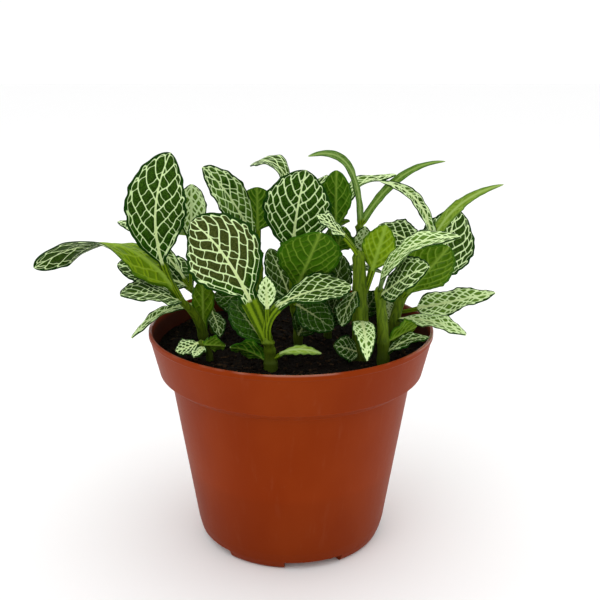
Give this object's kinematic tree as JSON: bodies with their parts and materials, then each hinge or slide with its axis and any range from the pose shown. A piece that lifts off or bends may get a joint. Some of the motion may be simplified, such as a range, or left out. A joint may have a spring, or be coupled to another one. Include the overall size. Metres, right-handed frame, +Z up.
{
  "type": "potted nerve plant",
  "caption": "Small leafy house plant with net-veined leaves on upright stems, growing in a round tapered plastic nursery pot with a collar rim.",
  "frame": {"origin": "centre of the plant's outline seen from above, at the height of the pot's feet", "axes": "+Z up, +X to the right and +Y away as seen by someone facing the front of the plant"},
  "size_m": [0.1856, 0.1406, 0.1693],
  "materials": {
    "pot": "satin moulded plastic, terracotta brown",
    "soil": "crumbly, nearly black potting mix",
    "leaves": "semi-matt leaves, dark green with a net of cream veins above and mid green below"
  },
  "bodies": {
    "root": {"pot": "pot", "soil": "soil", "leafy_stem_01": "leaves", "leafy_stem_02": "leaves", "leafy_stem_03": "leaves", "leafy_stem_04": "leaves", "leafy_stem_05": "leaves", "leafy_stem_06": "leaves", "leafy_stem_07": "leaves", "leafy_stem_08": "leaves", "leafy_stem_09": "leaves", "leafy_stem_10": "leaves", "leafy_stem_11": "leaves", "leafy_stem_12": "leaves", "leafy_stem_13": "leaves", "leafy_stem_14": "leaves", "leafy_stem_15": "leaves"}
  },
  "joints": []
}
